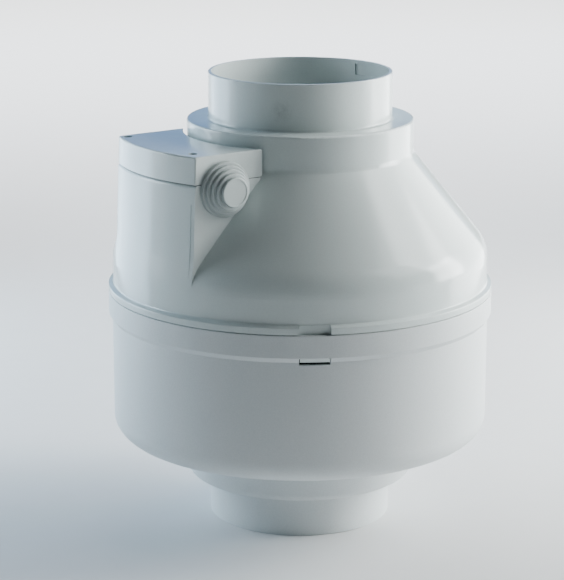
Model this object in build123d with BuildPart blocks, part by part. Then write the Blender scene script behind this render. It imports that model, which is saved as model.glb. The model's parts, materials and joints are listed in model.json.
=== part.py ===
from build123d import *
from math import atan2, cos, degrees, radians, sin, sqrt, tan
import os

# Inline duct fan for 125 mm round ducting, in millimetres.
# Z is the air path's axis, with the inlet spigot's edge at Z = 0 and the outlet at the top.
# The terminal box and the snap latches stand at azimuths counted from +X towards +Y.

# Casing, outside
height = 308.5
duct_radius = 62.0
collar_radius = 76.5
body_radius = 127.8
band_radius = 131.0
outlet_collar_foot = 254.0
outlet_collar_top = 276.9
cone_angle = 39.2
shoulder_round = 26.0
bead_top = 164.2
seam_height = 159.9
seam_gap = 0.5
band_foot = 144.6
bevel_foot = 141.2
lower_body_radius = 128.5
body_floor = 58.1
floor_round = 14.6
inlet_collar_foot = 29.6
inlet_collar_radius = 77.2

# Casing, inside
wall = 2.2
spigot_bore = duct_radius - wall
collar_bore = collar_radius - wall
tongue_foot = 149.5
tongue_radius = 128.0
tongue_bore = 125.5
ledge_height = 146.5
lower_bore = 126.0
nozzle_land = 63.6

# Snap latches
latch_azimuth = -85.7
latch_count = 3
latch_width = 20.5
slot_foot = 139.5
slot_top = 144.3
hook_foot = 141.6

# Catch recesses inside the outlet's mouth
recess_azimuth = 40.7
recess_radius = 60.7

# Terminal box, placed by its own outward (u) and sideways (w) distances
box_azimuth = -144.6
box_half_width = 47.3
box_top_radius = 123.6
box_draft = 0.0355
flare_top = 203.0
flare_foot = 186.0
lid_top = 268.8
lid_foot = 250.95
box_rim = 250.5
corner_round = 2.5
groove_w = 44.3
groove_width = 0.8
groove_depth = 0.45
groove_foot = 190.0
groove_top = 238.0
lid_corner_round = 1.2
lid_bore = 79.0
grommet_u = 93.0
grommet_height = 246.0
grommet_hole = 14.0
lid_screw_spots = [(109.0, 35.5), (111.0, -40.5)]
post_radius = 4.5
lid_screw_hole = 2.1

# Motor, bracket and lead
shaft_radius = 4.0
bearing_radius = 11.0
can_radius = 46.0
can_foot = 108.0
can_top = 160.0
flange_foot = 161.0
flange_top = 165.0
stack_foot = 127.0
stack_top = 153.0
bracket_foot = 168.0
bracket_top = 171.0
motor_screw_circle = 38.0
bracket_screw_circle = 100.0
boss_foot = 200.0
lead_radius = 3.0
lead_w = 12.0
lead_exit_u = 20.0
lead_entry_u = 108.0
entry_post_top = 232.0

# Impeller
wheel_radius = 95.0
eye_radius = 58.5
backplate_foot = 140.0
backplate_top = 142.0
shroud_rim = 113.0
shroud_turn = 106.0
blade_count = 7

cone_slope = tan(radians(cone_angle))


def cone_height(radius, inset=0.0):
    """Height of the casing's cone at a radius, for a surface set in by a wall."""
    return outlet_collar_foot - (radius + inset / cos(radians(cone_angle)) - collar_radius) / cone_slope


def box_radius(z):
    """Radius of the terminal box's outer wall, which leans in towards the lid."""
    return box_top_radius + (lid_top - z) * box_draft


def in_box(u, w, z):
    """World point for a point given along and across the terminal box."""
    turn = radians(box_azimuth)
    return (u * cos(turn) - w * sin(turn), u * sin(turn) + w * cos(turn), z)


def box_plane(z):
    """Level plane whose X runs out along the terminal box."""
    return Plane(origin=(0, 0, z), x_dir=in_box(1, 0, 0), z_dir=(0, 0, 1))


def side_plane(u, w, z):
    """Plane square to the terminal box's sides, facing the cable entry side."""
    return Plane(origin=in_box(u, w, z), x_dir=in_box(1, 0, 0), z_dir=in_box(0, 1, 0))


def radial_plane(azimuth):
    """Upright plane through the axis: X runs outwards and Y runs up."""
    turn = radians(azimuth)
    return Plane(origin=(0, 0, 0), x_dir=(cos(turn), sin(turn), 0), z_dir=(sin(turn), -cos(turn), 0))


def outline(points, rounds=0, plane=Plane.XZ):
    """Closed outline through corner points, each rounded by its own radius."""
    with BuildSketch(plane) as shape:
        with BuildLine():
            if rounds:
                FilletPolyline(*points, radius=rounds, close=True)
            else:
                Polyline(*points, close=True)
        make_face()
    return shape.sketch


def turned(points, rounds=0, mode=Mode.ADD):
    """Solid of revolution about Z from an outline of (radius, height) corners."""
    revolve(outline(points, rounds), axis=Axis.Z, mode=mode)


def sector(points, azimuth, spread, mode=Mode.ADD, rounds=0):
    """Outline turned about Z through a spread of degrees centred on an azimuth."""
    start = outline(points, rounds, radial_plane(azimuth - spread / 2))
    revolve(start, axis=Axis.Z, revolution_arc=spread, mode=mode)


def disc(plane, radius, length, mode=Mode.ADD, bore=0.0):
    """Round bar or tube standing on a plane."""
    with BuildSketch(plane) as shape:
        Circle(radius)
        if bore:
            Circle(bore, mode=Mode.SUBTRACT)
    extrude(shape.sketch, amount=length, mode=mode)


def discs(plane, places, radius, length, mode=Mode.ADD, bore=0.0):
    """The same round bar or tube at several places on a plane."""
    with BuildSketch(plane) as shape:
        with Locations(*places):
            Circle(radius)
            if bore:
                Circle(bore, mode=Mode.SUBTRACT)
    extrude(shape.sketch, amount=length, mode=mode)


def block(plane, low, high, length, mode=Mode.ADD):
    """Square-cornered block on a plane, between two opposite corners."""
    with BuildSketch(plane) as shape:
        with Locations(((low[0] + high[0]) / 2, (low[1] + high[1]) / 2)):
            Rectangle(high[0] - low[0], high[1] - low[1])
    extrude(shape.sketch, amount=length, mode=mode)


def slab(half_width):
    """Keeps only what lies between the terminal box's two side planes."""
    block(box_plane(150), (0, -half_width), (200, half_width), 150, Mode.INTERSECT)


def tube(points, rounds, radius):
    """Round wire along straight runs joined by tangent arcs."""
    with BuildLine() as route:
        FilletPolyline(*points, radius=rounds)
    with BuildSketch(Plane(origin=route.line @ 0, z_dir=route.line % 0)) as section:
        Circle(radius)
    sweep(section.sketch, path=route.line)


def four_spots(radius):
    """Four places on a circle, in line with the bracket's arms."""
    return [(radius, 0), (0, radius), (-radius, 0), (0, -radius)]


def finish(made, name):
    """Names a finished piece and writes it."""
    made.part.label = name
    export_step(made.part, "parts/" + name + ".step")


os.makedirs("parts", exist_ok=True)
latch_azimuths = [latch_azimuth + 360 / latch_count * i for i in range(latch_count)]
latch_spread = degrees(latch_width / band_radius)

# Outer form of the upper casing: spigot, collar, cone, shoulder, body, bead and tongue.
with BuildPart() as casing_form:
    turned(
        [
            (0, tongue_foot),
            (tongue_radius, tongue_foot),
            (tongue_radius, seam_height),
            (band_radius, seam_height),
            (band_radius, bead_top),
            (body_radius, bead_top + 1.6),
            (body_radius, cone_height(body_radius)),
            (collar_radius, outlet_collar_foot),
            (collar_radius, outlet_collar_top),
            (duct_radius, outlet_collar_top),
            (duct_radius, height),
            (0, height),
        ],
        [0, 0.4, 0, 0.4, 0.8, 0.8, shoulder_round, 5, 1.2, 1.5, 0.6, 0],
    )

# Outer form of the terminal box below its lid.
with BuildPart() as box_form:
    turned(
        [
            (60, 175),
            (body_radius - 0.1, 175),
            (body_radius - 0.1, flare_foot),
            (box_radius(flare_top), flare_top),
            (box_radius(box_rim), box_rim),
            (60, box_rim),
        ],
        [0, 0, 60, 60, 0, 0],
    )
    slab(box_half_width)
    corners = box_form.edges().filter_by(lambda e: e.length > 60).filter_by(
        lambda e: sqrt(e.center().X ** 2 + e.center().Y ** 2) > 115
    )
    fillet(corners, corner_round)

# Free space inside the terminal box, around its posts, seats and cable boss.
with BuildPart() as wiring_space:
    turned(
        [
            (60, 180),
            (box_radius(180) - wall, 180),
            (box_radius(box_rim + 1) - wall, box_rim + 1),
            (60, box_rim + 1),
        ]
    )
    slab(box_half_width - wall)
    add(casing_form.part, mode=Mode.SUBTRACT)
    discs(box_plane(180), lid_screw_spots, post_radius, box_rim - 180, Mode.SUBTRACT)
    discs(box_plane(180), [(lead_entry_u, lead_w)], 6.5, entry_post_top - 180, Mode.SUBTRACT)
    block(box_plane(180), (83, 9), (91, 14), box_rim - 180, Mode.SUBTRACT)
    block(box_plane(180), (83, 28), (91, 33), box_rim - 180, Mode.SUBTRACT)
    block(box_plane(180), (98, -17), (107, -9), 234 - 180, Mode.SUBTRACT)

# Air space inside the upper casing, around its bracket bosses, with the recesses in its mouth.
with BuildPart() as air_space:
    turned(
        [
            (0, tongue_foot - 10),
            (tongue_bore, tongue_foot - 10),
            (tongue_bore, cone_height(tongue_bore, wall)),
            (collar_bore, cone_height(collar_bore, wall)),
            (collar_bore, outlet_collar_top - wall),
            (spigot_bore, outlet_collar_top - wall),
            (spigot_bore, height + 5),
            (0, height + 5),
        ],
        [0, 0, shoulder_round - wall, 3, 1, 1, 0, 0],
    )
    discs(box_plane(boss_foot), four_spots(bracket_screw_circle), 6.0, 40, Mode.SUBTRACT)
    for azimuth in (recess_azimuth, recess_azimuth + 180):
        sector([(58, 298.4), (recess_radius, 298.4), (recess_radius, 306), (58, 306)], azimuth, 20)

# Shallow parting groove down the box's outer wall, beside the corner on the cable side.
groove_low = body_radius - 0.55
with BuildPart() as corner_groove:
    turned(
        [
            (groove_low, groove_foot),
            (body_radius + 5, groove_foot),
            (body_radius + 5, groove_top),
            (box_radius(groove_top) - groove_depth, groove_top),
            (box_radius(flare_top) - groove_depth, flare_top),
        ]
    )
    block(box_plane(170), (60, groove_w), (200, groove_w + groove_width), 70, Mode.INTERSECT)

with BuildPart() as outlet_casing:
    add(casing_form.part)
    add(box_form.part)
    add(wiring_space.part, mode=Mode.SUBTRACT)
    add(air_space.part, mode=Mode.SUBTRACT)
    add(corner_groove.part, mode=Mode.SUBTRACT)
    discs(box_plane(box_rim - 16), lid_screw_spots, lid_screw_hole, 20, Mode.SUBTRACT)
    discs(box_plane(195), [(lead_entry_u, lead_w)], 4.6, 45, Mode.SUBTRACT)
    disc(side_plane(grommet_u, 44, grommet_height), grommet_hole, 10, Mode.SUBTRACT)
    disc(side_plane(102.5, -19, 240), 11.2, 12, Mode.SUBTRACT)
    discs(box_plane(boss_foot - 1), four_spots(bracket_screw_circle), 1.7, 15, Mode.SUBTRACT)
    for azimuth in latch_azimuths:
        notch = [(127.6, 158), (135, 158), (135, bead_top + 1.4), (127.6, bead_top + 1.4)]
        finger = [(123.6, hook_foot), (125.8, hook_foot), (125.8, 160), (123.6, 160)]
        hook = [(125, hook_foot), (129.1, hook_foot), (130.4, 144.1), (125, 144.1)]
        sector(notch, azimuth, latch_spread, Mode.SUBTRACT)
        sector(finger, azimuth, latch_spread - 0.5)
        sector(hook, azimuth, latch_spread - 0.5)
finish(outlet_casing, "outlet_casing")

# Lower casing: spigot, collar, floor, body and the band that takes the tongue.
with BuildPart() as inlet_casing:
    turned(
        [
            (spigot_bore, 0),
            (duct_radius, 0),
            (duct_radius, inlet_collar_foot),
            (inlet_collar_radius, inlet_collar_foot),
            (inlet_collar_radius, body_floor),
            (lower_body_radius, body_floor),
            (lower_body_radius, bevel_foot),
            (band_radius, band_foot),
            (band_radius, seam_height - seam_gap),
            (tongue_radius + 0.2, seam_height - seam_gap),
            (tongue_radius + 0.2, ledge_height),
            (lower_bore, ledge_height),
            (lower_bore, body_floor + 2.5),
            (90, body_floor + 2.5),
            (90, nozzle_land),
            (collar_bore, nozzle_land),
            (collar_bore, inlet_collar_foot + wall),
            (spigot_bore, inlet_collar_foot + wall),
        ],
        [0.6, 0.6, 3, 4, 5, floor_round, 0.6, 0.6, 0.5, 0, 0, 0, floor_round - 2.5, 0, 0.5, 0.5, 1, 1],
    )
    discs(box_plane(nozzle_land - 4.5), four_spots(82), 1.3, 10, Mode.SUBTRACT)
    for azimuth in latch_azimuths:
        slot = [(118, slot_foot), (135, slot_foot), (135, slot_top), (118, slot_top)]
        sector(slot, azimuth, latch_spread, Mode.SUBTRACT)
finish(inlet_casing, "inlet_casing")

with BuildPart() as casing_seal:
    turned([(126.1, 146.5), (128.0, 146.5), (128.0, 149.4), (126.1, 149.4)], [0.6, 0.6, 0.6, 0.6])
finish(casing_seal, "casing_seal")

with BuildPart() as inlet_nozzle:
    turned(
        [
            (88, nozzle_land),
            (55.6, nozzle_land),
            (55.6, 94),
            (57, 94),
            (57, nozzle_land + 1.4),
            (88, nozzle_land + 1.4),
        ],
        [0.4, 16.4, 0.4, 0.4, 15, 0.4],
    )
    discs(box_plane(nozzle_land - 1), four_spots(82), 1.7, 5, Mode.SUBTRACT)
finish(inlet_nozzle, "inlet_nozzle")

with BuildPart() as nozzle_screws:
    discs(box_plane(nozzle_land + 1.4), four_spots(82), 3.2, 2.0)
    fillet(nozzle_screws.edges().group_by(Axis.Z)[-1], 0.8)
    discs(box_plane(nozzle_land - 4), four_spots(82), 1.25, 5.4)
finish(nozzle_screws, "nozzle_screws")


def wheel_point(radius, azimuth):
    """Point of a blade's plan, by radius and azimuth."""
    return (radius * cos(radians(azimuth)), radius * sin(radians(azimuth)))


# Impeller wheel: hub collar, backplate and backward-curved blades in one moulding.
with BuildSketch() as blade_plan:
    with BuildLine():
        ThreePointArc(wheel_point(60, 0), wheel_point(79, -13), wheel_point(94.6, -33))
        Line(wheel_point(94.6, -33), wheel_point(94.6, -32))
        ThreePointArc(wheel_point(94.6, -32), wheel_point(79, -11.8), wheel_point(60, 1.7))
        Line(wheel_point(60, 1.7), wheel_point(60, 0))
    make_face()
with BuildSketch(Plane.XY.offset(85)) as blade_plans:
    with PolarLocations(0, blade_count):
        add(blade_plan.sketch)
with BuildPart() as impeller_wheel:
    extrude(blade_plans.sketch, amount=backplate_foot + 0.5 - 85)
    turned(
        [(57, 80), (57, 84), (eye_radius, 84), (eye_radius, shroud_turn + 0.05), (100, 114.01), (100, 80)],
        [0, 0, 0, 14, 0, 0],
        Mode.SUBTRACT,
    )
    turned(
        [
            (can_radius + 0.05, 124),
            (can_radius + 2.5, 124),
            (can_radius + 2.5, backplate_foot),
            (wheel_radius, backplate_foot),
            (wheel_radius, backplate_top),
            (can_radius + 0.05, backplate_top),
        ],
        [0, 0.5, 3, 0.5, 0.5, 0.5],
    )
finish(impeller_wheel, "impeller_wheel")

with BuildPart() as impeller_shroud:
    turned(
        [
            (eye_radius, 90),
            (eye_radius + 1.5, 90),
            (eye_radius + 1.5, shroud_turn - 1.2),
            (wheel_radius, shroud_rim - 1.5),
            (wheel_radius, shroud_rim),
            (eye_radius, shroud_turn),
        ],
        [0.5, 0.5, 12.5, 0.5, 0.5, 14],
    )
finish(impeller_shroud, "impeller_shroud")

with BuildPart() as balance_clips:
    for azimuth in (-7, -7 + 3 * 360 / blade_count):
        clip = [(88, 138.4), (96.4, 138.4), (96.4, 143.6), (88, 143.6)]
        plate_space = [(80, 139.95), (95.1, 139.95), (95.1, 142.05), (80, 142.05)]
        sector(clip, azimuth, 4, rounds=[0.6] * 4)
        sector(plate_space, azimuth, 6, Mode.SUBTRACT)
finish(balance_clips, "balance_clips")

# External rotor motor: the can, its core and the shaft turn with the impeller.
with BuildPart() as rotor_can:
    turned(
        [
            (shaft_radius, can_foot),
            (can_radius, can_foot),
            (can_radius, can_top),
            (can_radius - 2, can_top),
            (can_radius - 2, can_foot + 3),
            (9, can_foot + 3),
            (9, can_foot + 9),
            (shaft_radius, can_foot + 9),
        ],
        [0, 4, 0.5, 0.5, 3, 1, 0.5, 0],
    )
finish(rotor_can, "rotor_can")

with BuildPart() as rotor_core:
    disc(Plane.XY.offset(stack_foot), can_radius - 2, stack_top - stack_foot, bore=36.5)
finish(rotor_core, "rotor_core")

with BuildPart() as motor_shaft:
    disc(Plane.XY.offset(can_foot + 0.5), shaft_radius, 59)
    chamfer(motor_shaft.edges().group_by(Axis.Z)[-1], 0.5)
    disc(Plane.XY.offset(164.2), 5, 1.1, Mode.SUBTRACT, bore=3.5)
finish(motor_shaft, "motor_shaft")

with BuildPart() as shaft_circlip:
    disc(Plane.XY.offset(164.25), 6.2, 1.0, bore=3.5)
    block(Plane.XY.offset(164), (2, -1.2), (8, 1.2), 2, Mode.SUBTRACT)
finish(shaft_circlip, "shaft_circlip")

bearing_outline = [
    (shaft_radius + 0.02, 0),
    (5.6, 0),
    (5.6, 0.5),
    (9.2, 0.5),
    (9.2, 0),
    (bearing_radius, 0),
    (bearing_radius, 7),
    (9.2, 7),
    (9.2, 6.5),
    (5.6, 6.5),
    (5.6, 7),
    (shaft_radius + 0.02, 7),
]
with BuildPart() as lower_bearing:
    turned([(r, z + 119) for r, z in bearing_outline])
finish(lower_bearing, "lower_bearing")

with BuildPart() as upper_bearing:
    turned([(r, z + 156.5) for r, z in bearing_outline])
finish(upper_bearing, "upper_bearing")

# Motor flange: a plate with the bearing tube that carries the stator.
with BuildPart() as motor_flange:
    turned(
        [
            (bearing_radius, 118),
            (14, 118),
            (14, flange_foot),
            (can_radius, flange_foot),
            (can_radius, flange_top),
            (bearing_radius, flange_top),
            (bearing_radius, 156.5),
            (9.6, 156.5),
            (9.6, 126),
            (bearing_radius, 126),
        ],
        [0, 0.5, 0, 0.5, 1, 0.5, 0, 0, 0, 0],
    )
    discs(box_plane(flange_foot - 1), four_spots(motor_screw_circle), 2.05, 6, Mode.SUBTRACT)
    discs(box_plane(flange_foot - 1), [(lead_exit_u, lead_w)], 4.6, 6, Mode.SUBTRACT)
finish(motor_flange, "motor_flange")

slot_count = 12
with BuildPart() as stator_core:
    with BuildSketch(Plane.XY.offset(stack_foot)):
        Circle(36)
        Circle(14.05, mode=Mode.SUBTRACT)
        with PolarLocations(26.5, slot_count):
            Rectangle(13, 6.4, mode=Mode.SUBTRACT)
        with PolarLocations(34.5, slot_count):
            Rectangle(5, 2, mode=Mode.SUBTRACT)
    extrude(amount=stack_top - stack_foot)
finish(stator_core, "stator_core")

with BuildPart() as stator_windings:
    with BuildSketch(Plane.XY.offset(stack_foot - 0.5)):
        with PolarLocations(26.5, slot_count):
            Rectangle(12.6, 6)
    extrude(amount=stack_top - stack_foot + 1)
    turned([(17.5, 120), (34, 120), (34, stack_foot - 0.05), (17.5, stack_foot - 0.05)], [3, 3, 1, 1])
    turned([(17.5, stack_top + 0.05), (34, stack_top + 0.05), (34, 159), (17.5, 159)], [1, 1, 2.5, 2.5])
finish(stator_windings, "stator_windings")

# Rubber mounts between the motor flange and the bracket.
with BuildPart() as vibration_dampers:
    discs(box_plane(flange_top), four_spots(motor_screw_circle), 6.5, bracket_foot - flange_top)
    discs(box_plane(bracket_foot), four_spots(motor_screw_circle), 4.45, bracket_top - bracket_foot)
    discs(box_plane(bracket_top), four_spots(motor_screw_circle), 6.5, 2)
    discs(box_plane(flange_top), four_spots(motor_screw_circle), 2.1, 10, Mode.SUBTRACT)
finish(vibration_dampers, "vibration_dampers")

with BuildPart() as motor_screws:
    discs(box_plane(bracket_top + 2), four_spots(motor_screw_circle), 4.5, 0.8)
    discs(box_plane(bracket_top + 2.8), four_spots(motor_screw_circle), 3.8, 2.4)
    fillet(motor_screws.edges().group_by(Axis.Z)[-1], 0.8)
    discs(box_plane(bracket_top + 3.6), four_spots(motor_screw_circle), 1.4, 3, Mode.SUBTRACT)
    discs(box_plane(flange_foot + 0.5), four_spots(motor_screw_circle), 2.0, bracket_top + 1.6 - flange_foot)
finish(motor_screws, "motor_screws")

# Bracket: a ring over the motor and four guide vanes that reach the casing's bosses.
vane_profile = [
    (40, bracket_foot),
    (50, bracket_foot),
    (95, 192),
    (95, boss_foot),
    (88, boss_foot),
    (44, 192),
]
with BuildPart() as motor_bracket:
    disc(Plane.XY.offset(bracket_foot), 48, bracket_top - bracket_foot, bore=27)
    discs(box_plane(196), four_spots(bracket_screw_circle), 7.5, boss_foot - 196)
    for arm in range(4):
        vane = outline(vane_profile, [0, 3, 2, 0, 3, 6], radial_plane(box_azimuth + 90 * arm))
        extrude(vane, amount=1.5, both=True)
    discs(box_plane(bracket_foot - 1), four_spots(motor_screw_circle), 4.5, 5, Mode.SUBTRACT)
    discs(box_plane(bracket_top), four_spots(motor_screw_circle), 7.2, 20, Mode.SUBTRACT)
    discs(box_plane(195), four_spots(bracket_screw_circle), 2.2, 6, Mode.SUBTRACT)
finish(motor_bracket, "motor_bracket")

with BuildPart() as bracket_screws:
    discs(box_plane(193.4), four_spots(bracket_screw_circle), 3.8, 2.6)
    fillet(bracket_screws.edges().group_by(Axis.Z)[0], 0.8)
    discs(box_plane(195), four_spots(bracket_screw_circle), 1.65, 17)
finish(bracket_screws, "bracket_screws")

# Motor lead, from the flange along a vane and up through the terminal box's floor.
lead_route = [
    in_box(lead_exit_u, lead_w, flange_foot + 0.5),
    in_box(lead_exit_u, lead_w, 189),
    in_box(64, lead_w, 191.5),
    in_box(lead_entry_u, lead_w, 199),
    in_box(lead_entry_u, lead_w, 243),
]
with BuildPart() as motor_lead:
    tube(lead_route, [12.4, 90, 14], lead_radius)
finish(motor_lead, "motor_lead")

with BuildPart() as lead_bushings:
    for u, top in ((lead_exit_u, flange_top), (lead_entry_u, entry_post_top)):
        discs(box_plane(top - 3.5), [(u, lead_w)], 4.55, 3.5)
        discs(box_plane(top), [(u, lead_w)], 6.2, 2)
        discs(box_plane(top - 5), [(u, lead_w)], lead_radius + 0.05, 8, Mode.SUBTRACT)
finish(lead_bushings, "lead_bushings")

# Two clips that hold the lead against its vane.
lead_slope = atan2(199 - 191.5, lead_entry_u - 64)
with BuildPart() as lead_clips:
    for u in (70.0, 84.0):
        level = 191.5 + (u - 64) * tan(lead_slope)
        along = Vector(in_box(cos(lead_slope), 0, sin(lead_slope)))
        ring_plane = Plane(origin=in_box(u, lead_w, level), x_dir=in_box(0, 1, 0), z_dir=along)
        block(ring_plane, (1.5 - lead_w, -1.2), (-lead_radius, 1.2), 5)
        disc(ring_plane, lead_radius + 1.4, 5)
        disc(ring_plane, lead_radius + 0.1, 5, Mode.SUBTRACT)
finish(lead_clips, "lead_clips")

# Free space under the terminal box lid, around its screw posts.
lid_ceiling = lid_top - 2.4
with BuildPart() as lid_space:
    turned(
        [
            (lid_bore + wall, 240),
            (box_radius(240) - wall, 240),
            (box_radius(lid_ceiling) - wall, lid_ceiling),
            (lid_bore + wall, lid_ceiling),
        ]
    )
    slab(box_half_width - wall)
    discs(box_plane(240), lid_screw_spots, post_radius, 30, Mode.SUBTRACT)

# Terminal box lid, nested against the outlet collar.
with BuildPart() as terminal_box_lid:
    turned(
        [
            (lid_bore, cone_height(lid_bore) + 0.8),
            (lid_bore + 1, lid_foot),
            (box_radius(lid_foot), lid_foot),
            (box_radius(lid_top), lid_top),
            (lid_bore, lid_top),
        ]
    )
    slab(box_half_width - 0.3)
    corners = terminal_box_lid.edges().filter_by(lambda e: 15 < e.length < 20).filter_by(
        lambda e: sqrt(e.center().X ** 2 + e.center().Y ** 2) > 115
    )
    fillet(corners, lid_corner_round)
    fillet(terminal_box_lid.faces().sort_by(Axis.Z)[-1].edges(), 1.0)
    add(lid_space.part, mode=Mode.SUBTRACT)
    discs(box_plane(240), lid_screw_spots, lid_screw_hole, 40, Mode.SUBTRACT)
    discs(box_plane(265.2), lid_screw_spots, 3.2, 10, Mode.SUBTRACT)
    disc(side_plane(grommet_u, 43, grommet_height), grommet_hole + 0.3, 10, Mode.SUBTRACT)
finish(terminal_box_lid, "terminal_box_lid")

with BuildPart() as lid_screws:
    discs(box_plane(265.2), lid_screw_spots, 2.9, 2.2)
    fillet(lid_screws.edges().group_by(Axis.Z)[-1], 0.7)
    with BuildSketch(box_plane(266.4)) as recesses:
        for spot in lid_screw_spots:
            with Locations(spot):
                Rectangle(3.8, 0.9, rotation=30)
                Rectangle(0.9, 3.8, rotation=30)
    extrude(recesses.sketch, amount=3, mode=Mode.SUBTRACT)
    discs(box_plane(237), lid_screw_spots, 1.75, 28.4)
finish(lid_screws, "lid_screws")

# Flat gasket on the box's rim, open in the middle and towards the cone.
gasket_edge = box_radius(box_rim)
with BuildPart() as gasket_middle:
    inner_edge = gasket_edge - 1.9
    turned([(60, box_rim - 1), (inner_edge, box_rim - 1), (inner_edge, box_rim + 1), (60, box_rim + 1)])
    slab(box_half_width - 1.9)
with BuildPart() as lid_gasket:
    outer_edge = gasket_edge - 0.5
    turned([(81, box_rim), (outer_edge, box_rim), (outer_edge, box_rim + 0.4), (81, box_rim + 0.4)])
    slab(box_half_width - 0.5)
    add(gasket_middle.part, mode=Mode.SUBTRACT)
    disc(side_plane(grommet_u, 40, grommet_height), grommet_hole + 0.3, 10, Mode.SUBTRACT)
finish(lid_gasket, "lid_gasket")

# Stepped rubber grommet in the box's side wall, its end still closed.
step_radii = [18.2, 16.2, 14.1, 11.95, 9.8]
step_length = 2.74
inner_flange_w = box_half_width - 5.0
with BuildPart() as cable_grommet:
    disc(side_plane(grommet_u, inner_flange_w, grommet_height), 15, 2.5)
    disc(side_plane(grommet_u, inner_flange_w + 2.5, grommet_height), grommet_hole - 0.2, 2.5)
    for level, radius in enumerate(step_radii):
        disc(side_plane(grommet_u, box_half_width + level * step_length, grommet_height), radius, step_length)
        front = cable_grommet.faces().sort_by(Axis(in_box(0, 0, 0), in_box(0, 1, 0)))[-1]
        fillet(front.edges(), 0.8)
    tip = box_half_width + len(step_radii) * step_length
    disc(side_plane(grommet_u, tip - 0.3, grommet_height), 8.3, 1, Mode.SUBTRACT)
    hollow_plane = side_plane(grommet_u, inner_flange_w - 1, grommet_height)
    disc(hollow_plane, 7.5, tip - inner_flange_w - 1, Mode.SUBTRACT)
finish(cable_grommet, "cable_grommet")

# Screw terminals for the supply, on two seats in the box.
pole_places = [10.5, 16.0, 21.5, 27.0, 32.5]
terminal_spots = [(u, w) for u in (86.5, 92.5) for w in pole_places]
with BuildPart() as terminal_block:
    block(box_plane(box_rim), (83, 7), (96, 36), 4)
    for w in pole_places:
        block(box_plane(box_rim + 4), (84, w - 2), (95, w + 2), 7)
    discs(box_plane(box_rim + 6), terminal_spots, 1.5, 8, Mode.SUBTRACT)
finish(terminal_block, "terminal_block")

with BuildPart() as terminal_screws:
    discs(box_plane(box_rim + 6), terminal_spots, 1.45, 3.6)
    for w in pole_places:
        block(box_plane(box_rim + 9), (84, w - 0.3), (95, w + 0.3), 2, Mode.SUBTRACT)
finish(terminal_screws, "terminal_screws")

# Run capacitor, lying along the box above the cone.
with BuildPart() as run_capacitor:
    disc(side_plane(102.5, -29, 240), 10, 32)
    fillet(run_capacitor.edges().filter_by(GeomType.CIRCLE), 1.2)
finish(run_capacitor, "run_capacitor")

with BuildPart() as capacitor_clip:
    disc(side_plane(102.5, -16, 240), 11.1, 6, bore=10.05)
    block(side_plane(102.5, -17, 240), (-3, 5), (3, 15), 8, Mode.SUBTRACT)
finish(capacitor_clip, "capacitor_clip")

# Insulated cores: three from the motor lead and two from the capacitor.
core_radius = 0.8
lead_cores = [(108.85, 10.5, 258, 10.5), (106.5, 12.0, 254, 16.0), (108.85, 13.5, 258, 21.5)]
capacitor_cores = [(100.5, 27.0), (103.5, 32.5)]
with BuildPart() as lead_conductors:
    for u, w, bend, pole in lead_cores:
        tube([in_box(u, w, 243), in_box(u, w, bend), in_box(99.5, pole, 257.2), in_box(95.05, pole, 257)],
             [3.5, 3], core_radius)
    for u, pole in capacitor_cores:
        tube([in_box(u, 3, 240), in_box(u, pole - 5, 240), in_box(u, pole, 250), in_box(99.5, pole, 257),
              in_box(95.05, pole, 257.1)],
             [4, 4, 1.5], core_radius)
finish(lead_conductors, "lead_conductors")
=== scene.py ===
import json
from math import cos, radians, sin

import bpy
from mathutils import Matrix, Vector

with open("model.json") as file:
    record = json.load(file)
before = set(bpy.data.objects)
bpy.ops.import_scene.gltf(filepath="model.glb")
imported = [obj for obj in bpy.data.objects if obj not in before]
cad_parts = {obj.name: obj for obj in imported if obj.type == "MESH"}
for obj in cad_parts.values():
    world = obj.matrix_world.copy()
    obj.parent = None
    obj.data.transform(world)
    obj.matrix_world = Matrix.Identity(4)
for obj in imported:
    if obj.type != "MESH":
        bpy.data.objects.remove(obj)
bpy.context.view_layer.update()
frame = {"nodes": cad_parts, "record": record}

# Lengths are in metres, except the focal length of the lens, which is in millimetres.

# Camera at the photograph's view, a little above the fan
CAMERA_HEIGHT_ANGLE = radians(14.27)
CAMERA_DISTANCE = 1.568
CAMERA_AIM = Vector((0, 0, 0.15625))
CAMERA_TURN = radians(0.463)
CAMERA_LENS = 141.6
CAMERA_CLIP = (0.05, 50)

# Pale floor paper with a faint mottle
FLOOR_SIZE = 12.0
FLOOR_MOTTLE_SCALE = 40.0
FLOOR_DARK = (0.73, 0.73, 0.73)
FLOOR_LIGHT = (0.76, 0.76, 0.76)
FLOOR_ROUGHNESS = 0.7

# Rings that the soft boxes stand on: distance from the fan's axis, and height
FAR_RING = (1.7, 0.55)
NEAR_RING = (0.641, 0.32)
HIGH_RING = (1.34, 1.207)

# Width and height of the soft boxes
TALL_BOX = (0.74, 1.0)
HIGH_BOX = (0.8, 0.8)
LOW_BOX = (0.576, 0.6)

# Points that the soft boxes face
ABOVE_FAN = (0, 0, 0.45)
FAN_MIDDLE = (0, 0, 0.16)
BEHIND_LEFT = (-0.08, 0.157, 0.32)
BEHIND_RIGHT = (0.08, 0.157, 0.32)

# Tints of the light
RIGHT_TINT = (0.96, 1.0, 1.0)
LEFT_TINT = (0.80, 0.92, 1.0)
LOW_LEFT_TINT = (0.58, 0.80, 1.0)
BACK_TINT = (0.25, 0.48, 1.0)
FLOOR_TINT = (0.95, 0.98, 1.0)
WORLD_TINT = (0.8, 0.9, 1.0, 1)
WORLD_STRENGTH = 0.03

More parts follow.
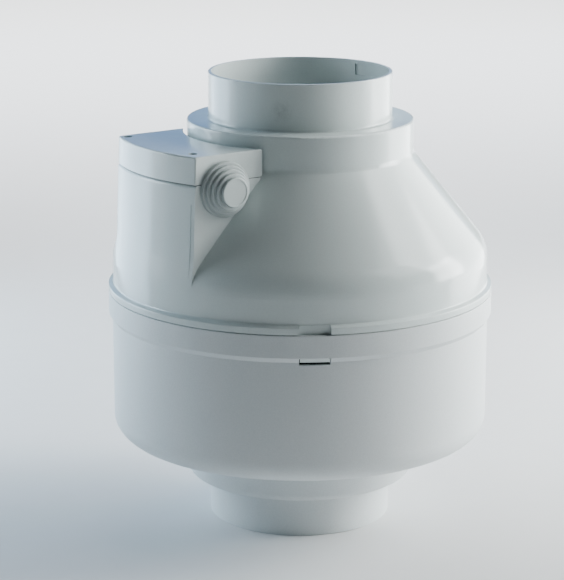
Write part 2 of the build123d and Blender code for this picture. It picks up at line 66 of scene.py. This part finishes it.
# Soft boxes on the rings: name, azimuth in degrees, ring, aim, size, power in watts, tint
RING_BOXES = (
    ("left_box", -100, FAR_RING, ABOVE_FAN, TALL_BOX, 15, LEFT_TINT),
    ("left_low", -121, NEAR_RING, BEHIND_LEFT, LOW_BOX, 6.2, LOW_LEFT_TINT),
    ("right_box", 100, FAR_RING, ABOVE_FAN, TALL_BOX, 41, RIGHT_TINT),
    ("right_low", 121, NEAR_RING, BEHIND_RIGHT, LOW_BOX, 9, RIGHT_TINT),
    ("right_high", 100, HIGH_RING, FAN_MIDDLE, HIGH_BOX, 14, RIGHT_TINT),
    ("right_key", 75, HIGH_RING, FAN_MIDDLE, HIGH_BOX, 6.3, RIGHT_TINT),
)

# The other soft boxes: name, place, aim, size, power in watts, tint, spread in degrees
BACKDROP_BOXES = (
    ("back_box", (0, 2.6, 0.95), (0, 0, 0.95), (3.2, 1.1), 11, BACK_TINT, 180),
    ("floor_box", (0, 2.4, 1.7), (0, 2.4, 0), (4.0, 2.4), 135, FLOOR_TINT, 100),
    ("floor_left", (-4.0, 1.0, 1.9), (-4.0, 1.0, 0), (3.2, 5.0), 170, FLOOR_TINT, 85),
    ("floor_right", (4.0, 1.0, 1.9), (4.0, 1.0, 0), (3.2, 5.0), 170, FLOOR_TINT, 85),
)

# Noise scales, in features per metre, for the finishes of plastic and rubber
DRIFT_SCALE = 9.0
POLISH_SCALE = 60.0
FLECK_SCALE = 1100.0
SCUFF_SCALE = 260.0
METAL_PATCH_SCALE = 45.0

# Part of a noise's range that most of its values lie in
NOISE_LOW = 0.3
NOISE_HIGH = 0.7

# Factors on a finish's roughness and tone, from the least to the most
MOULDED_POLISH = (0.85, 1.2)
METAL_POLISH = (0.75, 1.3)
METAL_TONES = (0.86, 1.1)

# Depth of a moulding's slow swell, over the depth of its grain
SWELL_RATIO = 2

COAT_ROUGHNESS = 0.08
MICRON = 0.000001
SCUFF_COLOUR = (0.36, 0.40, 0.40, 1)

# Rubbed mark on the front of the outlet spigot, at full strength out to the core's share of its reach
SCUFF_CENTRE = (-0.0124, -0.0608, 0.2905)
SCUFF_REACH = 0.009
SCUFF_STRENGTH = 0.5
SCUFF_CORE = 0.3


# ---------------------------------------------------------------- materials

def new_material(name):
    """An empty node material with its Principled shader, and a way to add nodes."""
    mat = bpy.data.materials.new(name)
    mat.use_nodes = True
    tree = mat.node_tree
    tree.nodes.clear()
    out = tree.nodes.new("ShaderNodeOutputMaterial")
    shader = tree.nodes.new("ShaderNodeBsdfPrincipled")
    tree.links.new(shader.outputs["BSDF"], out.inputs["Surface"])
    return mat, tree, shader


def object_coords(tree, stretch=(1, 1, 1)):
    """Object-space coordinates in metres, stretched for brushed or wound surfaces."""
    coords = tree.nodes.new("ShaderNodeTexCoord")
    mapping = tree.nodes.new("ShaderNodeMapping")
    mapping.inputs["Scale"].default_value = stretch
    tree.links.new(coords.outputs["Object"], mapping.inputs["Vector"])
    return mapping.outputs["Vector"]


def noise(tree, vector, scale, detail=4.0, roughness=0.5):
    node = tree.nodes.new("ShaderNodeTexNoise")
    node.inputs["Scale"].default_value = scale
    node.inputs["Detail"].default_value = detail
    node.inputs["Roughness"].default_value = roughness
    tree.links.new(vector, node.inputs["Vector"])
    return node.outputs["Fac"]


def spread(tree, value, low, high):
    """Maps the middle of a noise onto a range."""
    node = tree.nodes.new("ShaderNodeMapRange")
    node.inputs["From Min"].default_value = NOISE_LOW
    node.inputs["From Max"].default_value = NOISE_HIGH
    node.inputs["To Min"].default_value = low
    node.inputs["To Max"].default_value = high
    tree.links.new(value, node.inputs["Value"])
    return node.outputs["Result"]


def tint(tree, value, dark, light):
    """Colour that drifts between two tones with a noise."""
    node = tree.nodes.new("ShaderNodeMix")
    node.data_type = "RGBA"
    node.inputs["A"].default_value = (*dark, 1)
    node.inputs["B"].default_value = (*light, 1)
    tree.links.new(value, node.inputs["Factor"])
    return node.outputs["Result"]


def bump(tree, height, depth, before=None):
    """Surface relief of a real depth in metres."""
    node = tree.nodes.new("ShaderNodeBump")
    node.inputs["Strength"].default_value = 1.0
    node.inputs["Distance"].default_value = depth
    tree.links.new(height, node.inputs["Height"])
    if before:
        tree.links.new(before, node.inputs["Normal"])
    return node.outputs["Normal"]


def shade(colour, amount):
    return tuple(min(1.0, c * amount) for c in colour)


def moulded(name, colour, rough, grain, depth=20 * MICRON, drift=0.03, fleck=0.04, coat=0.0, sheen=0.0):
    """Moulded plastic or rubber: colour drift, small flecks, uneven polish and a fine grain."""
    mat, tree, shader = new_material(name)
    place = object_coords(tree)
    broad = noise(tree, place, DRIFT_SCALE, detail=3.0)
    patch = noise(tree, place, POLISH_SCALE, detail=5.0, roughness=0.6)
    spots = noise(tree, place, FLECK_SCALE, detail=2.0, roughness=0.7)
    fine = noise(tree, place, grain, detail=3.0)
    flecked = tree.nodes.new("ShaderNodeMix")
    flecked.data_type = "RGBA"
    flecked.blend_type = "MULTIPLY"
    flecked.inputs["Factor"].default_value = 1.0
    drifted = tint(tree, broad, shade(colour, 1 - drift), shade(colour, 1 + drift))
    dimmed = tint(tree, spread(tree, spots, 0, 1), (1 - fleck,) * 3, (1, 1, 1))
    tree.links.new(drifted, flecked.inputs["A"])
    tree.links.new(dimmed, flecked.inputs["B"])
    tree.links.new(flecked.outputs["Result"], shader.inputs["Base Color"])
    polish = [rough * factor for factor in MOULDED_POLISH]
    tree.links.new(spread(tree, patch, *polish), shader.inputs["Roughness"])
    swell = bump(tree, patch, depth * SWELL_RATIO)
    tree.links.new(bump(tree, fine, depth, swell), shader.inputs["Normal"])
    shader.inputs["Coat Weight"].default_value = coat
    shader.inputs["Coat Roughness"].default_value = COAT_ROUGHNESS
    shader.inputs["Sheen Weight"].default_value = sheen
    return mat


def scuff(tree, place, centre, reach, strength):
    """Mask of a rubbed mark: strongest at a point of the surface, broken up by a noise."""
    gap = tree.nodes.new("ShaderNodeVectorMath")
    gap.operation = "DISTANCE"
    gap.inputs[1].default_value = centre
    tree.links.new(place, gap.inputs[0])
    fade = tree.nodes.new("ShaderNodeMapRange")
    fade.inputs["From Min"].default_value = reach * SCUFF_CORE
    fade.inputs["From Max"].default_value = reach
    fade.inputs["To Min"].default_value = strength
    fade.inputs["To Max"].default_value = 0.0
    tree.links.new(gap.outputs["Value"], fade.inputs["Value"])
    broken = tree.nodes.new("ShaderNodeMath")
    broken.operation = "MULTIPLY"
    tree.links.new(fade.outputs["Result"], broken.inputs[0])
    patches = noise(tree, place, SCUFF_SCALE, detail=4.0, roughness=0.7)
    tree.links.new(spread(tree, patches, 0, 1), broken.inputs[1])
    return broken.outputs["Value"]


def rub(mat, centre, reach, strength):
    """Darkens a material's base colour round one rubbed mark."""
    tree = mat.node_tree
    shader = next(node for node in tree.nodes if node.type == "BSDF_PRINCIPLED")
    colour = shader.inputs["Base Color"].links[0].from_socket
    marked = tree.nodes.new("ShaderNodeMix")
    marked.data_type = "RGBA"
    marked.inputs["B"].default_value = SCUFF_COLOUR
    tree.links.new(scuff(tree, object_coords(tree), centre, reach, strength), marked.inputs["Factor"])
    tree.links.new(colour, marked.inputs["A"])
    tree.links.new(marked.outputs["Result"], shader.inputs["Base Color"])


def metal(name, colour, rough, stretch=(1, 1, 1), grain=700.0, depth=10 * MICRON):
    """Metal with a directional or cast grain and a drifting polish."""
    mat, tree, shader = new_material(name)
    place = object_coords(tree, stretch)
    still = object_coords(tree)
    fine = noise(tree, place, grain, detail=4.0)
    patch = noise(tree, still, METAL_PATCH_SCALE, detail=5.0, roughness=0.6)
    tones = [shade(colour, factor) for factor in METAL_TONES]
    polish = [rough * factor for factor in METAL_POLISH]
    tree.links.new(tint(tree, patch, *tones), shader.inputs["Base Color"])
    tree.links.new(spread(tree, fine, *polish), shader.inputs["Roughness"])
    tree.links.new(bump(tree, fine, depth), shader.inputs["Normal"])
    shader.inputs["Metallic"].default_value = 1.0
    return mat


MOULDED_LOOKS = {
    "casing_plastic": dict(
        colour=(0.655, 0.73, 0.72), rough=0.19, grain=500, depth=3 * MICRON,
        drift=0.015, fleck=0.05, coat=0.3
    ),
    "casing_satin": dict(
        colour=(0.685, 0.728, 0.735), rough=0.4, grain=1300, depth=12 * MICRON,
        drift=0.015, fleck=0.08
    ),
    "seal_rubber": dict(colour=(0.02, 0.02, 0.022), rough=0.6, grain=2500, sheen=0.1),
    "grommet_rubber": dict(
        colour=(0.47, 0.53, 0.525), rough=0.34, grain=2200, depth=12 * MICRON, sheen=0.1
    ),
    "nozzle_plastic": dict(colour=(0.035, 0.037, 0.04), rough=0.42, grain=1800),
    "bracket_plastic": dict(colour=(0.30, 0.32, 0.33), rough=0.36, grain=1500),
    "impeller_plastic": dict(colour=(0.016, 0.016, 0.018), rough=0.4, grain=1600),
    "motor_paint": dict(colour=(0.012, 0.012, 0.014), rough=0.5, grain=1400, depth=60 * MICRON),
    "lead_jacket": dict(colour=(0.025, 0.025, 0.028), rough=0.4, grain=1600),
    "core_insulation": dict(colour=(0.05, 0.12, 0.42), rough=0.3, grain=2500),
    "terminal_plastic": dict(colour=(0.72, 0.70, 0.62), rough=0.35, grain=1800),
    "capacitor_plastic": dict(colour=(0.74, 0.75, 0.73), rough=0.22, grain=900),
}
METAL_LOOKS = {
    "lamination_steel": dict(
        colour=(0.35, 0.36, 0.38), rough=0.4, stretch=(0.1, 0.1, 4.0), grain=500, depth=80 * MICRON
    ),
    "winding_copper": dict(
        colour=(0.72, 0.30, 0.12), rough=0.3, stretch=(0.3, 0.3, 2.5), grain=600, depth=200 * MICRON
    ),
    "machined_steel": dict(colour=(0.62, 0.63, 0.65), rough=0.2, stretch=(0.15, 0.15, 3.0)),
    "spring_steel": dict(colour=(0.28, 0.28, 0.30), rough=0.35),
    "cast_aluminium": dict(colour=(0.62, 0.63, 0.65), rough=0.42, grain=900, depth=50 * MICRON),
    "zinc_steel": dict(colour=(0.55, 0.56, 0.58), rough=0.28, grain=1200),
}
MATERIALS = {name: moulded(name, **look) for name, look in MOULDED_LOOKS.items()}
MATERIALS.update({name: metal(name, **look) for name, look in METAL_LOOKS.items()})

rub(MATERIALS["casing_plastic"], SCUFF_CENTRE, SCUFF_REACH, SCUFF_STRENGTH)


def dress_nodes():
    """Gives every CAD node the full material of its slot."""
    for part in frame["record"]["subparts"]:
        node = frame["nodes"].get(part["node"])
        if node is None:
            continue
        for holder in node.material_slots:
            holder.material = MATERIALS[part["material_slot"]]


dress_nodes()


# ---------------------------------------------------------------- studio

def stage_floor():
    """Wide pale floor under the fan."""
    mesh = bpy.data.meshes.new("floor")
    half = FLOOR_SIZE / 2
    corners = [(-half, -half, 0), (half, -half, 0), (half, half, 0), (-half, half, 0)]
    mesh.from_pydata(corners, [], [(0, 1, 2, 3)])
    floor = bpy.data.objects.new("floor", mesh)
    bpy.context.collection.objects.link(floor)
    mat, tree, shader = new_material("floor_paper")
    mottle = noise(tree, object_coords(tree), FLOOR_MOTTLE_SCALE)
    tree.links.new(tint(tree, mottle, FLOOR_DARK, FLOOR_LIGHT), shader.inputs["Base Color"])
    shader.inputs["Roughness"].default_value = FLOOR_ROUGHNESS
    mesh.materials.append(mat)


def area_light(name, place, aim, size, power, colour, spread_angle=180):
    """Soft box at a place, turned to face a point."""
    data = bpy.data.lights.new(name, "AREA")
    data.shape = "RECTANGLE"
    data.size, data.size_y = size
    data.energy = power
    data.color = colour
    data.spread = radians(spread_angle)
    lamp = bpy.data.objects.new(name, data)
    lamp.location = place
    lamp.rotation_mode = "QUATERNION"
    lamp.rotation_quaternion = (Vector(place) - Vector(aim)).to_track_quat("Z", "Y")
    lamp.visible_camera = False
    bpy.context.collection.objects.link(lamp)


def around(azimuth, ring):
    """Place on a ring round the fan: azimuth 0 is towards the camera and 90 is to its right."""
    distance, height = ring
    turn = radians(azimuth)
    return (distance * sin(turn), -distance * cos(turn), height)


def studio_light():
    """Strong soft boxes on the right, weaker cool ones on the left, a blue one behind, and a lit floor."""
    for name, azimuth, ring, aim, size, power, colour in RING_BOXES:
        area_light(name, around(azimuth, ring), aim, size, power, colour)
    for box in BACKDROP_BOXES:
        area_light(*box)
    world = bpy.data.worlds.new("studio")
    world.use_nodes = True
    back = world.node_tree.nodes["Background"]
    back.inputs["Color"].default_value = WORLD_TINT
    back.inputs["Strength"].default_value = WORLD_STRENGTH
    bpy.context.scene.world = world


def photo_camera():
    """Camera at the photograph's view, turned so the fan stands right of the middle."""
    data = bpy.data.cameras.new("camera")
    data.lens = CAMERA_LENS
    data.clip_start, data.clip_end = CAMERA_CLIP
    camera = bpy.data.objects.new("camera", data)
    away = Vector((0, -cos(CAMERA_HEIGHT_ANGLE), sin(CAMERA_HEIGHT_ANGLE)))
    camera.location = CAMERA_AIM + away * CAMERA_DISTANCE
    camera.rotation_euler = (radians(90) - CAMERA_HEIGHT_ANGLE, 0, CAMERA_TURN)
    bpy.context.collection.objects.link(camera)
    bpy.context.scene.camera = camera


stage_floor()
studio_light()
photo_camera()
